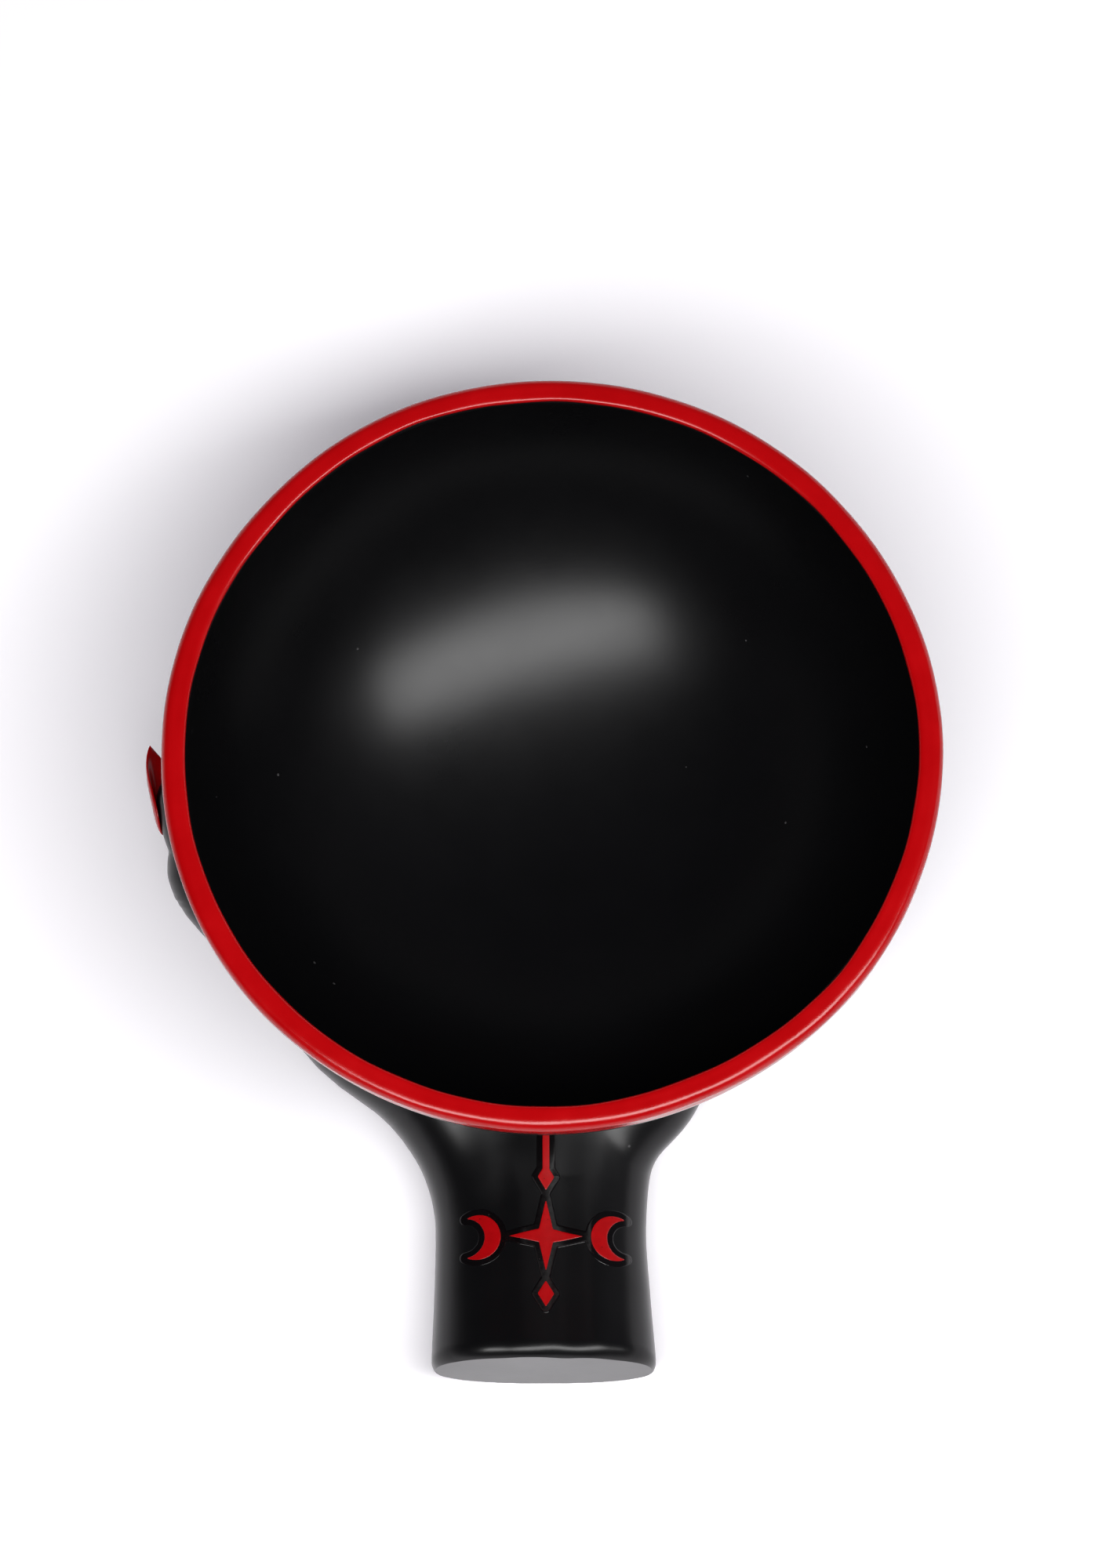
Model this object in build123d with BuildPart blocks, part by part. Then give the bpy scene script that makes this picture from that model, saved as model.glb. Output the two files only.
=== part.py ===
"""A glazed stoneware bowl held in a sculpted left hand, palm up, lying on its back.

The bowl, the hollow palm and wrist, the wrist's end cap and the five solid digits are separate castings,
luted together with slip before firing. The lip is banded and the nails are coated with red enamel, and a
printed emblem lies under a clear film on the wrist.

Frame: millimetres, +Z up. The origin is on the flat ground under the palm, below the bowl's axis. The wrist
points along -Y, and the thumb lies on the -X side.
"""

from build123d import *

import math
import os

os.makedirs("parts", exist_ok=True)

# ---------------------------------------------------------------- driving dimensions
bowl_radius = 74.7  # outside the bare lip
bowl_depth = 58.0  # inside, lip to bottom
bowl_wall = 4.5
lip_inner_round = 0.9
lip_outer_round = 1.5

enamel_thickness = 0.3
enamel_inside_drop = 1.6  # how far the red band comes down inside the lip
enamel_outside_drop = 5.5  # and outside

palm_thickness = 19.5  # from the table to the bowl's lowest point
slip_thickness = 0.8  # the slip that lutes the hand to the bowl
hand_wall = 4.5  # the hollow palm and wrist
palm_end_wall = 26.0  # solid clay at the knuckles, where the casting mould narrows
vent_radius = 2.5
vent_y = -42.0

cap_thickness = 4.0
cap_edge_bevel = 1.2
spigot_length = 3.0
spigot_clearance = 0.2

nail_thickness = 0.9
nail_sink = 0.35  # how deep a nail plate sits in its bed
nail_behind = 6.0  # from the tip's centre back to the quick
nail_ahead = 12.0  # and on to the point
nail_waist = 0.72  # its width halfway to the point, compared with its width at the quick
pad_sink = 1.6  # how far the finger pads are flattened against the bowl

print_thickness = 0.2
film_thickness = 0.25  # over the print
film_margin = 1.2  # clear film around the print
emblem_y = -84.0  # the star's centre
emblem_x = -1.0
star_long, star_short = 7.6, 2.0  # from the centre to its points and to its inner corners
moon_radius = 4.6
moon_bite_radius = 3.9
moon_bite_shift = 2.6
moon_offset = 13.4
diamond_long, diamond_short = 2.8, 1.7
diamond_gap = 1.4  # between a diamond and the star's points
stem_width = 1.5
stem_length = 11.0

# ---------------------------------------------------------------- the hand's layout
# Cross-sections of palm and wrist: y, centre x, half width, lowest z, and how far the highest z is above
# the bowl's lowest point. The lowest parts pass below the table and are ground flat.
hand_sections = [
    (-108.5, -1.2, 21.5, -0.4, 10.9),
    (-80.0, -1.4, 20.6, -1.0, 8.0),
    (-60.0, -2.2, 24.2, -1.2, 8.5),
    (-38.0, -1.0, 30.5, -1.4, 10.5),
    (-12.0, 0.0, 32.5, -1.4, 7.5),
    (8.0, 0.5, 31.5, -1.0, 1.5),
    (19.0, 0.5, 27.0, 1.6, -2.5),
]

# Each digit: the points it starts from inside the palm, as x, y, the depth below the bowl's lowest point
# and a radius, and then its joints and tip against the bowl, as an azimuth about the bowl's axis, an angle
# up the bowl's wall and a radius.
digit_routes = {
    "thumb": (
        [(-9.0, -66.0, 5.5, 11.0), (-24.0, -51.0, 1.5, 11.5)],
        [(211, 46.0, 9.5), (192, 57.0, 8.3), (185, 60.3, 7.2), (177.5, 62.5, 6.0)],
    ),
    "index_finger": ([(-20.0, 2.0, 9.0, 7.6)], [(121, 30.0, 7.0), (120, 44.0, 6.2), (119, 55.0, 5.4)]),
    "middle_finger": ([(-6.5, 10.0, 9.3, 8.2)], [(98, 31.0, 7.3), (97, 46.5, 6.4), (96, 58.0, 5.5)]),
    "ring_finger": ([(8.7, 9.0, 9.5, 7.9)], [(75, 30.5, 6.9), (75, 45.0, 6.1), (76, 56.0, 5.2)]),
    "little_finger": ([(22.0, 1.5, 9.8, 7.2)], [(50, 25.5, 6.1), (52, 38.0, 5.4), (54, 48.5, 4.7)]),
}

# ---------------------------------------------------------------- values that follow
bowl_outer_depth = bowl_depth + bowl_wall
bowl_inner_radius = bowl_radius - bowl_wall
lip_height = palm_thickness + bowl_outer_depth
wrist_end_y = hand_sections[0][0]
palm_end_y = hand_sections[-1][0]


def wall_point(azimuth, climb, stand_off):
    """A point stand_off outside the bowl's outer wall, climb degrees up from its bottom."""
    c, s = math.cos(math.radians(climb)), math.sin(math.radians(climb))
    normal = Vector(s / bowl_radius, 0, -c / bowl_outer_depth).normalized()
    on_wall = Vector(bowl_radius * s, 0, lip_height - bowl_outer_depth * c)
    return (on_wall + normal * stand_off).rotate(Axis.Z, azimuth)


# ---------------------------------------------------------------- bowl
def bowl_section(growth):
    """Half the bowl's wall on the sketch plane, grown on every side."""
    top = lip_height + growth
    with BuildSketch() as section:
        with BuildLine():
            outer = EllipticalCenterArc(
                (0, top), bowl_radius + growth, bowl_outer_depth + growth, start_angle=270, arc_size=90
            )
            inner = EllipticalCenterArc(
                (0, top), bowl_inner_radius - growth, bowl_depth + growth, start_angle=270, arc_size=90
            )
            Line(outer @ 0, inner @ 0)
            Line(outer @ 1, inner @ 1)
        make_face()
        inner_corner, outer_corner = section.vertices().group_by(Axis.Y)[-1].sort_by(Axis.X)
        fillet(inner_corner, lip_inner_round + growth)
        fillet(outer_corner, lip_outer_round + growth)
    return section.sketch


def bowl_filled(growth):
    """The ellipsoid that the bowl's outside is part of, grown on every side, for cutting what is luted to it.

    Its seam and poles are kept away from the palm.
    """
    with BuildPart() as filled:
        Sphere(1, rotation=(0, -90, 0))
        scale(by=(bowl_radius + growth, bowl_radius + growth, bowl_outer_depth + growth))
    return filled.part.moved(Location((0, 0, lip_height)))


with BuildPart() as bowl_shell:
    with BuildSketch(Plane.XZ):
        add(bowl_section(0))
    revolve(axis=Axis.Z)

with BuildPart() as rim_band:
    with BuildSketch(Plane.XZ):
        add(bowl_section(enamel_thickness))
        add(bowl_section(0), mode=Mode.SUBTRACT)
        lip_middle = bowl_radius - bowl_wall / 2
        reach = bowl_wall
        with BuildLine():
            Polyline(
                (lip_middle - reach, lip_height - enamel_inside_drop),
                (lip_middle, lip_height - enamel_inside_drop),
                (lip_middle, lip_height - enamel_outside_drop),
                (lip_middle + reach, lip_height - enamel_outside_drop),
                (lip_middle + reach, lip_height + reach),
                (lip_middle - reach, lip_height + reach),
                close=True,
            )
        make_face(mode=Mode.INTERSECT)
    revolve(axis=Axis.Z)

bowl_space = bowl_filled(0)
bowl_and_slip = bowl_filled(slip_thickness)


def luted(body):
    """The body cut clear of the bowl, and the slip that fills the gap between the two."""
    with BuildPart() as clear:
        add(body)
        add(bowl_and_slip, mode=Mode.SUBTRACT)
    with BuildPart() as slip:
        add(body)
        add(bowl_and_slip, mode=Mode.INTERSECT)
        add(bowl_space, mode=Mode.SUBTRACT)
    return clear.part, slip.part


# ---------------------------------------------------------------- palm and wrist
def hand_loft(inset):
    """Palm and wrist as a loft of ellipses, each drawn in by inset."""
    with BuildPart() as lofted:
        for y, x, half_width, low, rise in hand_sections:
            high = palm_thickness + rise
            with BuildSketch(Plane(origin=(x, y, (low + high) / 2), x_dir=(1, 0, 0), z_dir=(0, 1, 0))):
                Ellipse(half_width - inset, (high - low) / 2 - inset)
        loft()
    return lofted.part


with BuildPart() as hand_blank:
    add(hand_loft(0))
    split(bisect_by=Plane.XY, keep=Keep.TOP)

with BuildPart() as cavity:
    add(hand_loft(hand_wall))
    split(bisect_by=Plane.XY.offset(hand_wall), keep=Keep.TOP)
    split(bisect_by=Plane.XZ.offset(palm_end_wall - palm_end_y), keep=Keep.TOP)
    add(bowl_filled(slip_thickness + hand_wall), mode=Mode.SUBTRACT)

cap_plane = Plane.XZ.offset(-wrist_end_y - cap_thickness)
palm_clear_of_bowl, palm_slip = luted(hand_blank.part)
with BuildPart() as palm_and_wrist:
    add(palm_clear_of_bowl)
    split(bisect_by=cap_plane, keep=Keep.BOTTOM)
    add(cavity.part, mode=Mode.SUBTRACT)
    with Locations((0, vent_y, hand_wall / 2)):
        Cylinder(vent_radius, 2 * hand_wall, mode=Mode.SUBTRACT)

with BuildPart() as cap_spigot:
    add(hand_loft(hand_wall + spigot_clearance))
    split(bisect_by=cap_plane, keep=Keep.BOTTOM)
    split(bisect_by=cap_plane.offset(-spigot_length), keep=Keep.TOP)
    split(bisect_by=Plane.XY.offset(hand_wall + spigot_clearance), keep=Keep.TOP)

with BuildPart() as wrist_end_cap:
    add(hand_blank.part)
    split(bisect_by=cap_plane, keep=Keep.TOP)
    chamfer(wrist_end_cap.faces().sort_by(Axis.Y)[0].edges(), cap_edge_bevel)
    add(cap_spigot.part)


# ---------------------------------------------------------------- digits and their nails
def digit_blank(points, radii):
    """A tapering digit lofted through circles square to its centreline, with a round tip."""
    last = len(points) - 1
    with BuildPart() as blank:
        for i, (point, radius) in enumerate(zip(points, radii)):
            along = (points[min(i + 1, last)] - points[max(i - 1, 0)]).normalized()
            square = Plane(origin=point, x_dir=along.cross(Vector(0, 0, 1)), z_dir=along)
            with BuildSketch(square):
                Circle(radius)
        loft()
        with Locations(square):
            Sphere(radii[-1], arc_size1=0, align=(Align.CENTER, Align.CENTER, Align.MIN))
    return blank.part


def nail_plate(tip, along, outward, radius):
    """A curved plate on the back of the fingertip: a slice of tube trimmed to a pointed oval."""
    inside = radius - nail_sink
    half_width = radius - nail_thickness
    with BuildPart() as nail:
        with BuildSketch(Plane(origin=tip - along * nail_behind, x_dir=outward, z_dir=along)):
            Circle(inside + nail_thickness)
            Circle(inside, mode=Mode.SUBTRACT)
        extrude(amount=nail_behind + nail_ahead)
        with BuildSketch(Plane(origin=tip, x_dir=along, z_dir=outward)):
            with BuildLine():
                quick = ThreePointArc((0, half_width), (-nail_behind, 0), (0, -half_width))
                bend = (nail_ahead / 2, -nail_waist * half_width)
                edge = Spline(quick @ 1, bend, (nail_ahead, 0), tangents=[(1, 0), (0.6, 1)])
                mirror(edge, about=Plane.XZ)
            make_face()
        extrude(amount=2 * radius, mode=Mode.INTERSECT)
    return nail.part


digits, nails = {}, {}
blanks, slips = [hand_blank.part], [palm_slip]
for name, (roots, joints) in digit_routes.items():
    points = [Vector(x, y, palm_thickness - depth) for x, y, depth, radius in roots]
    points += [wall_point(azimuth, climb, radius + slip_thickness - pad_sink) for azimuth, climb, radius in joints]
    radii = [place[-1] for place in roots + joints]
    azimuth, climb, tip_radius = joints[-1]
    along = (points[-1] - points[-2]).normalized()
    outward = wall_point(azimuth, climb, 1) - wall_point(azimuth, climb, 0)
    outward = (outward - along * outward.dot(along)).normalized()
    nail = nail_plate(points[-1], along, outward, tip_radius)
    blank = digit_blank(points, radii)
    with BuildPart() as body:
        add(blank)
        split(bisect_by=Plane.XY, keep=Keep.TOP)
        for neighbour in [*blanks, nail]:
            add(neighbour, mode=Mode.SUBTRACT)
    digits[name], slip = luted(body.part)
    nails[name.split("_")[0] + "_nail"] = nail
    blanks.append(blank)
    slips.append(slip)

luting_slip = Compound(slips)


# ---------------------------------------------------------------- emblem
def emblem_outline():
    """A four-pointed star between two moons, with a diamond below it and another on a stem above it."""
    star_corners = []
    for i in range(8):
        reach, angle = (star_long, star_short)[i % 2], math.radians(45 * i)
        star_corners.append((emblem_x + reach * math.cos(angle), emblem_y + reach * math.sin(angle)))
    diamond_drop = star_long + diamond_gap + diamond_long
    with BuildSketch() as outline:
        with BuildLine():
            Polyline(*star_corners, close=True)
        make_face()
        for side in (-1, 1):
            with Locations((emblem_x + side * moon_offset, emblem_y)):
                Circle(moon_radius)
            with Locations((emblem_x + side * (moon_offset + moon_bite_shift), emblem_y)):
                Circle(moon_bite_radius, mode=Mode.SUBTRACT)
            with BuildLine():
                middle = emblem_y + side * diamond_drop
                Polyline(
                    (emblem_x - diamond_short, middle),
                    (emblem_x, middle - diamond_long),
                    (emblem_x + diamond_short, middle),
                    (emblem_x, middle + diamond_long),
                    close=True,
                )
            make_face()
        with Locations((emblem_x, emblem_y + diamond_drop + stem_length / 2)):
            Rectangle(stem_width, stem_length)
    return outline.sketch


def wrist_skin(outline, low, high):
    """The part of a skin over the wrist, between two heights above it, that lies under the outline."""
    with BuildPart() as skin:
        with BuildSketch(Plane.XY.offset(palm_thickness)):
            add(outline)
        extrude(amount=palm_thickness)
        add(hand_loft(-high), mode=Mode.INTERSECT)
        add(hand_loft(-low), mode=Mode.SUBTRACT)
    return skin.part


with BuildSketch() as film_outline:
    add(emblem_outline())
    offset(amount=film_margin)

emblem_print = wrist_skin(emblem_outline(), 0, print_thickness)
with BuildPart() as emblem_film:
    add(wrist_skin(film_outline.sketch, 0, print_thickness + film_thickness))
    add(emblem_print, mode=Mode.SUBTRACT)

# ---------------------------------------------------------------- export
pieces = {
    "bowl_shell": bowl_shell.part,
    "rim_band": rim_band.part,
    "luting_slip": luting_slip,
    "palm_and_wrist": palm_and_wrist.part,
    "wrist_end_cap": wrist_end_cap.part,
    **digits,
    **nails,
    "emblem_print": emblem_print,
    "emblem_film": emblem_film.part,
}
for name, piece in pieces.items():
    piece.label = name
    export_step(piece, f"parts/{name}.step")
    print(name, round(piece.volume, 1), len(piece.solids()), piece.is_valid)
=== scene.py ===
"""The looks of a glazed bowl resting in a sculpted hand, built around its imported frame.

Everything is in metres in the part's own frame: +Z up, the wrist along -Y, the thumb on the -X side. The hand
is carved in millimetres and scaled as its mesh is made.
"""

import math

import bmesh
import bpy
import numpy as np
import openvdb
from mathutils import Matrix, Vector


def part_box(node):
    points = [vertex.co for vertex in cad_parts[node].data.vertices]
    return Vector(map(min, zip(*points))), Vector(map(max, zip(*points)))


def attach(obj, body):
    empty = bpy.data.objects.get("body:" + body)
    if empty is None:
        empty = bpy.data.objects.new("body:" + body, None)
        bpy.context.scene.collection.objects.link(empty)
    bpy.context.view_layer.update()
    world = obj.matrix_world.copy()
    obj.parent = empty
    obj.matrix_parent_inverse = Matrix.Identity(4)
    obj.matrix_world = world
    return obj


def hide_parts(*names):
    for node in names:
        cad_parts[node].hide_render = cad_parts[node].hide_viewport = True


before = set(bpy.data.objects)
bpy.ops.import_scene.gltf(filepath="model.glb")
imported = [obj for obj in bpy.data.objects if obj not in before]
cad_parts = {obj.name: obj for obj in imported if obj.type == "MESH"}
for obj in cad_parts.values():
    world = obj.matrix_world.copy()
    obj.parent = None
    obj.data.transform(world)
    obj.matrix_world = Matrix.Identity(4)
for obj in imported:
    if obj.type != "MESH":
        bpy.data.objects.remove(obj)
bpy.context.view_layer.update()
mm = 0.001

# ================================================================ camera
# A long lens on a tall stand, almost straight above the bowl and leaning over the wrist.


def put_in_scene(name, data):
    """A new object that holds the data, in the scene."""
    thing = bpy.data.objects.new(name, data)
    bpy.context.scene.collection.objects.link(thing)
    return thing


rim_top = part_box("rim_band")[1].z
camera_height = math.radians(75)
camera_distance = 1.4
frame_height = 0.301  # what the tall side of the picture takes in at the rim
rim_above_middle = 0.0068  # the rim's middle lies this far above the picture's
image_up = Vector((0, math.sin(camera_height), math.cos(camera_height)))
towards_camera = Vector((0, -math.cos(camera_height), math.sin(camera_height)))
camera_data = bpy.data.cameras.new("camera")
camera_data.sensor_width = 36
camera_data.lens = 36 * camera_distance / frame_height
camera = put_in_scene("camera", camera_data)
camera.location = Vector((0, 0, rim_top)) - rim_above_middle * image_up + camera_distance * towards_camera
camera.rotation_euler = (math.pi / 2 - camera_height, 0, 0)
bpy.context.scene.camera = camera
bpy.context.scene.view_settings.view_transform = "Standard"

# ================================================================ table and studio light
# A white table that glows a little, under softboxes that lean over the wrist. The room's white sweep ends low
# down and its ceiling is dark, so that black glaze stays black.


def node_tools(tree):
    """Short ways to add a node to a tree, its inputs and settings given, and to join two sockets."""

    def add_node(kind, values=None, **settings):
        node = tree.nodes.new(kind)
        for name, value in settings.items():
            setattr(node, name, value)
        for socket, value in (values or {}).items():
            node.inputs[socket].default_value = value
        return node

    return add_node, tree.links.new


def shader_nodes(owner):
    """The tools for the owner's node tree, which is emptied first."""
    owner.use_nodes = True
    owner.node_tree.nodes.clear()
    return node_tools(owner.node_tree)


table_material = bpy.data.materials.new("white_table")
add_node, join = shader_nodes(table_material)
surface = add_node("ShaderNodeBsdfPrincipled", {
    "Base Color": (0.90, 0.89, 0.91, 1), "Roughness": 0.9, "Specular IOR Level": 0.1,
    "Emission Color": (0.96, 0.90, 1.0, 1), "Emission Strength": 0.20,
})
join(surface.outputs["BSDF"], add_node("ShaderNodeOutputMaterial").inputs["Surface"])

half_table = 4.0
table_mesh = bpy.data.meshes.new("table")
table_corners = [(x * half_table, y * half_table, 0) for x, y in ((-1, -1), (1, -1), (1, 1), (-1, 1))]
table_mesh.from_pydata(table_corners, [], [(0, 1, 2, 3)])
table_mesh.materials.append(table_material)
table = put_in_scene("table", table_mesh)

room = bpy.data.worlds.new("room")
add_node, join = shader_nodes(room)
split_direction = add_node("ShaderNodeSeparateXYZ")
join(add_node("ShaderNodeTexCoord").outputs["Generated"], split_direction.inputs[0])
by_height = add_node("ShaderNodeValToRGB")
by_height.color_ramp.interpolation = "EASE"
stops = by_height.color_ramp.elements
stops[0].position, stops[0].color = 0.06, (1.0, 0.975, 1.0, 1)
stops[1].position, stops[1].color = 0.26, (0.05, 0.05, 0.056, 1)
join(split_direction.outputs["Z"], by_height.inputs["Fac"])
strength = add_node("ShaderNodeMath", operation="MULTIPLY")
brighter_side, nearer_end = (-1.0, 1.0, 0.5, 1.7), (-0.8, 0.0, 0.35, 1.0)
for axis, limits, end in zip("XY", (brighter_side, nearer_end), strength.inputs):
    spread = add_node("ShaderNodeMapRange", dict(zip(("From Min", "From Max", "To Min", "To Max"), limits)))
    join(split_direction.outputs[axis], spread.inputs["Value"])
    join(spread.outputs[0], end)
background = add_node("ShaderNodeBackground")
join(by_height.outputs["Color"], background.inputs["Color"])
join(strength.outputs[0], background.inputs["Strength"])
join(background.outputs["Background"], add_node("ShaderNodeOutputWorld").inputs["Surface"])
bpy.context.scene.world = room


def softbox(name, place, size, power, lights_matt):
    """A rectangular lamp facing the bowl, which lights either the matt surfaces or the glossy reflections.

    The camera itself doesn't see it.
    """
    lamp_data = bpy.data.lights.new(name, "AREA")
    lamp_data.shape = "RECTANGLE"
    lamp_data.size, lamp_data.size_y = size
    lamp_data.energy = power
    lamp = put_in_scene(name, lamp_data)
    lamp.location = place
    facing = Vector((0, 0, rim_top / 2)) - lamp.location
    lamp.rotation_euler = facing.to_track_quat("-Z", "Y").to_euler()
    lamp.visible_camera = False
    lamp.visible_diffuse, lamp.visible_glossy = lights_matt, not lights_matt


softbox("softbox_reflected", (0.19, -0.63, 0.96), (1.80, 0.40), 26.0, False)
softbox("softbox_overhead", (0.10, -0.36, 1.02), (1.10, 0.26), 15.5, True)

# ================================================================ bowl
# A thin round bowl turned from black stoneware, its wall half of an ellipse in section, with a rounded lip.
# Black satin glaze covers it inside and out. Throwing leaves it very slightly out of round.
bowl_low, bowl_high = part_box("bowl_shell")
bowl_radius = bowl_high.x / mm
lip_height = bowl_high.z / mm
bowl_outer_depth = (bowl_high.z - bowl_low.z) / mm
bowl_wall = 4.5
lip_inner_round, lip_outer_round = 1.1, 1.7
bowl_inner_depth = bowl_outer_depth - bowl_wall
bowl_inner_radius = bowl_radius - bowl_wall
bowl_segments, wall_points = 256, 60
throwing_waves = ((0.35, 2, 0.6), (0.22, 3, 2.1), (0.10, 7, 0.4))  # height in mm, waves in a turn, phase


def wall_curve(radius, depth, top_angle, count):
    """Points down an elliptical wall from its top to its pole, as radius and height."""
    angles = np.linspace(top_angle, 0, count)
    return np.stack([radius * np.sin(angles), lip_height - depth * np.cos(angles)], 1)


def rounded_corner(centre, radius, start, end, count):
    """Points round a corner between two angles in degrees."""
    angles = np.radians(np.linspace(start, end, count))
    return np.stack([centre[0] + radius * np.cos(angles), centre[1] + radius * np.sin(angles)], 1)


inner_round_angle = math.acos(lip_inner_round / bowl_inner_depth)
outer_round_angle = math.acos(lip_outer_round / bowl_outer_depth)
inner_wall = wall_curve(bowl_inner_radius, bowl_inner_depth, inner_round_angle, wall_points)[::-1]
outer_wall = wall_curve(bowl_radius, bowl_outer_depth, outer_round_angle, wall_points)
inner_corner = rounded_corner(
    (inner_wall[-1, 0] + lip_inner_round, lip_height - lip_inner_round), lip_inner_round, 180, 90, 9
)
outer_corner = rounded_corner(
    (outer_wall[0, 0] - lip_outer_round, lip_height - lip_outer_round), lip_outer_round, 90, 0, 12
)
bowl_profile = np.concatenate([inner_wall, inner_corner[1:], outer_corner[:-1], outer_wall])


def out_of_round(azimuth, height_share):
    """How far the wall leans out at an azimuth, in millimetres, most at the lip."""
    lean = sum(height * np.sin(turns * azimuth + phase) for height, turns, phase in throwing_waves)
    return lean * np.clip(height_share, 0, 1) ** 2


def turning_tree():
    """Geometry Nodes that turn a profile about Z into a closed solid, slightly out of round."""
    tree = bpy.data.node_groups.new("turn_profile", "GeometryNodeTree")
    face = tree.interface
    face.new_socket("Profile", in_out="INPUT", socket_type="NodeSocketGeometry")
    for name, kind in (
        ("Segments", "NodeSocketInt"), ("Axis gap", "NodeSocketFloat"), ("Lip height", "NodeSocketFloat"),
        ("Depth", "NodeSocketFloat"), ("Wobble", "NodeSocketFloat"), ("Glaze", "NodeSocketMaterial"),
    ):
        face.new_socket(name, in_out="INPUT", socket_type=kind)
    face.new_socket("Solid", in_out="OUTPUT", socket_type="NodeSocketGeometry")

    add_node, join = node_tools(tree)

    def maths(operation, first, second=None):
        node = add_node("ShaderNodeMath", operation=operation)
        for socket, value in zip(node.inputs, (first, second)):
            if isinstance(value, (int, float)):
                socket.default_value = value
            elif value is not None:
                join(value, socket)
        return node.outputs[0]

    given = add_node("NodeGroupInput").outputs
    path = add_node("GeometryNodeCurvePrimitiveCircle", mode="RADIUS")
    join(given["Segments"], path.inputs["Resolution"])
    join(given["Axis gap"], path.inputs["Radius"])
    to_curve = add_node("GeometryNodeMeshToCurve")
    join(given["Profile"], to_curve.inputs["Mesh"])
    turn = add_node("GeometryNodeCurveToMesh")
    join(path.outputs["Curve"], turn.inputs["Curve"])
    join(to_curve.outputs["Curve"], turn.inputs["Profile Curve"])
    close_poles = add_node("GeometryNodeMergeByDistance", {"Distance": 2e-6})
    join(turn.outputs["Mesh"], close_poles.inputs["Geometry"])

    place = add_node("GeometryNodeInputPosition").outputs[0]
    axes = add_node("ShaderNodeSeparateXYZ")
    join(place, axes.inputs[0])
    azimuth = maths("ARCTAN2", axes.outputs["Y"], axes.outputs["X"])
    waves = None
    for height, turns, phase in throwing_waves:
        turned = maths("ADD", maths("MULTIPLY", azimuth, turns), phase)
        wave = maths("MULTIPLY", maths("SINE", turned), height)
        waves = wave if waves is None else maths("ADD", waves, wave)
    below_lip = maths("DIVIDE", maths("SUBTRACT", given["Lip height"], axes.outputs["Z"]), given["Depth"])
    height_share = maths("SUBTRACT", 1, below_lip)
    waves = maths("MULTIPLY", waves, maths("MULTIPLY", height_share, height_share))
    lean = maths("MULTIPLY", waves, given["Wobble"])
    flat_place = add_node("ShaderNodeCombineXYZ")
    join(axes.outputs["X"], flat_place.inputs["X"])
    join(axes.outputs["Y"], flat_place.inputs["Y"])
    outwards = add_node("ShaderNodeVectorMath", operation="NORMALIZE")
    join(flat_place.outputs[0], outwards.inputs[0])
    shift = add_node("ShaderNodeVectorMath", operation="SCALE")
    join(outwards.outputs[0], shift.inputs[0])
    join(lean, shift.inputs["Scale"])
    bend = add_node("GeometryNodeSetPosition")
    join(close_poles.outputs[0], bend.inputs["Geometry"])
    join(shift.outputs[0], bend.inputs["Offset"])
    smooth = add_node("GeometryNodeSetShadeSmooth")
    join(bend.outputs[0], smooth.inputs["Geometry"])
    real = add_node("GeometryNodeRealizeInstances")
    join(smooth.outputs[0], real.inputs[0])
    finish = add_node("GeometryNodeSetMaterial")
    join(real.outputs[0], finish.inputs["Geometry"])
    join(given["Glaze"], finish.inputs["Material"])
    join(finish.outputs[0], add_node("NodeGroupOutput").inputs["Solid"])
    return tree


def plain_mesh_of(carrier, tree, name, values):
    """Runs a Geometry Nodes tree on an object and returns a new object with the plain mesh that it makes."""
    modifier = carrier.modifiers.new("made", "NODES")
    modifier.node_group = tree
    for socket in tree.interface.items_tree:
        if socket.name in values:
            modifier[socket.identifier] = values[socket.name]
    seen = bpy.context.evaluated_depsgraph_get()
    mesh = bpy.data.meshes.new_from_object(carrier.evaluated_get(seen), depsgraph=seen)
    carrier.modifiers.remove(modifier)
    bpy.data.objects.remove(carrier)
    mesh.name = name
    return put_in_scene(name, mesh)


def outward_faces(piece):
    """Turns every face of a closed mesh outwards."""
    shape = bmesh.new()
    shape.from_mesh(piece.data)
    bmesh.ops.recalc_face_normals(shape, faces=shape.faces)
    shape.to_mesh(piece.data)
    shape.free()


def shader_group(name, numbers, result):
    """An empty shader group with named numbers in and one result out, and the tools to fill it."""
    tree = bpy.data.node_groups.new(name, "ShaderNodeTree")
    for label, value in numbers.items():
        tree.interface.new_socket(label, in_out="INPUT", socket_type="NodeSocketFloat").default_value = value
    tree.interface.new_socket(result, in_out="OUTPUT", socket_type="NodeSocketFloat")
    return tree, *node_tools(tree)


def surface_ripple_group():
    """The faint unevenness of any fired coat: a long sag and a short orange peel, as one height."""
    weights = {"Sag": 0.5, "Peel": 0.5, "Peel scale": 900.0}
    tree, add_node, join = shader_group("fired_coat_ripple", weights, "Height")
    given = add_node("NodeGroupInput").outputs
    place = add_node("ShaderNodeTexCoord").outputs["Object"]
    sag = add_node("ShaderNodeTexNoise", {"Scale": 55, "Detail": 1})
    peel = add_node("ShaderNodeTexNoise", {"Detail": 2})
    join(given["Peel scale"], peel.inputs["Scale"])
    total = add_node("ShaderNodeMath", operation="ADD")
    for noise, weight, end in ((sag, "Sag", total.inputs[0]), (peel, "Peel", total.inputs[1])):
        join(place, noise.inputs["Vector"])
        product = add_node("ShaderNodeMath", operation="MULTIPLY")
        join(noise.outputs["Fac"], product.inputs[0])
        join(given[weight], product.inputs[1])
        join(product.outputs[0], end)
    join(total.outputs[0], add_node("NodeGroupOutput").inputs["Height"])
    return tree


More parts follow.
